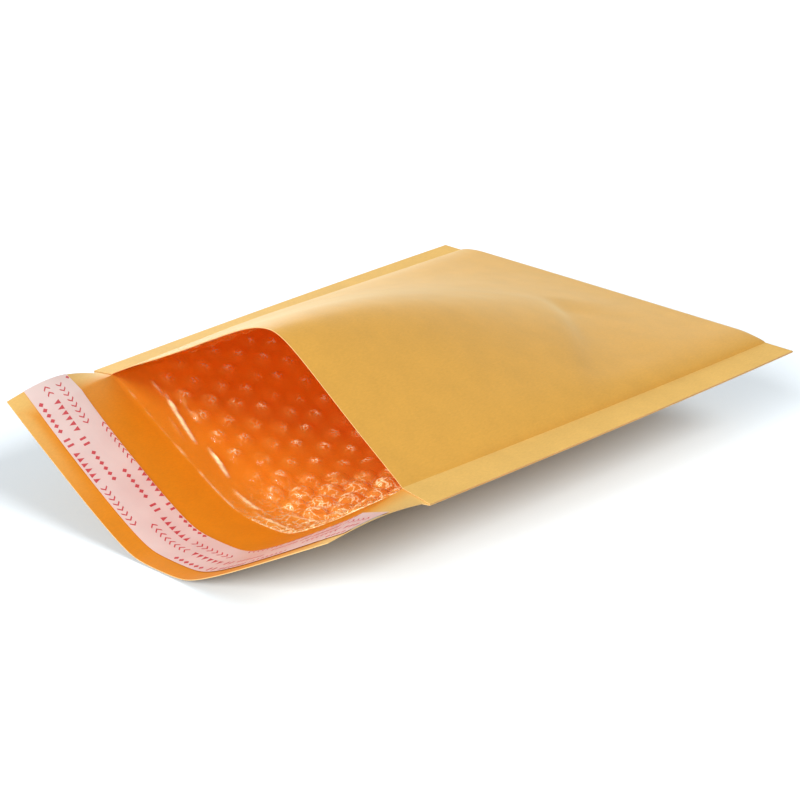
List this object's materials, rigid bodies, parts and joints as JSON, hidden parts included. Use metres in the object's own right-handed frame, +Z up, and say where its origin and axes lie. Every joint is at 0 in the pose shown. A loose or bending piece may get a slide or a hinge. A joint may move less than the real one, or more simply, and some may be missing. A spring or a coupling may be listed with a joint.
{
  "type": "padded envelope",
  "caption": "Kraft paper padded envelope lying open, with a bubble film lining inside and a peel-off strip across its flap.",
  "frame": {"origin": "under the middle of the overall box, on the surface that the envelope lies on", "axes": "+X from the left side seam to the right one, +Y from the mouth to the closed end, +Z up"},
  "size_m": [0.184, 0.253, 0.079],
  "materials": {
    "kraft": "matt golden brown kraft paper",
    "bubble_film": "clear glossy bubble film, tinted by the paper behind it",
    "glue": "pale tacky hot-melt glue",
    "liner": "thin pale film with rows of red marks"
  },
  "bodies": {
    "root": {"kraft_cover": "kraft", "bubble_lining": "bubble_film", "adhesive_band": "glue", "release_liner": "liner"}
  },
  "joints": []
}
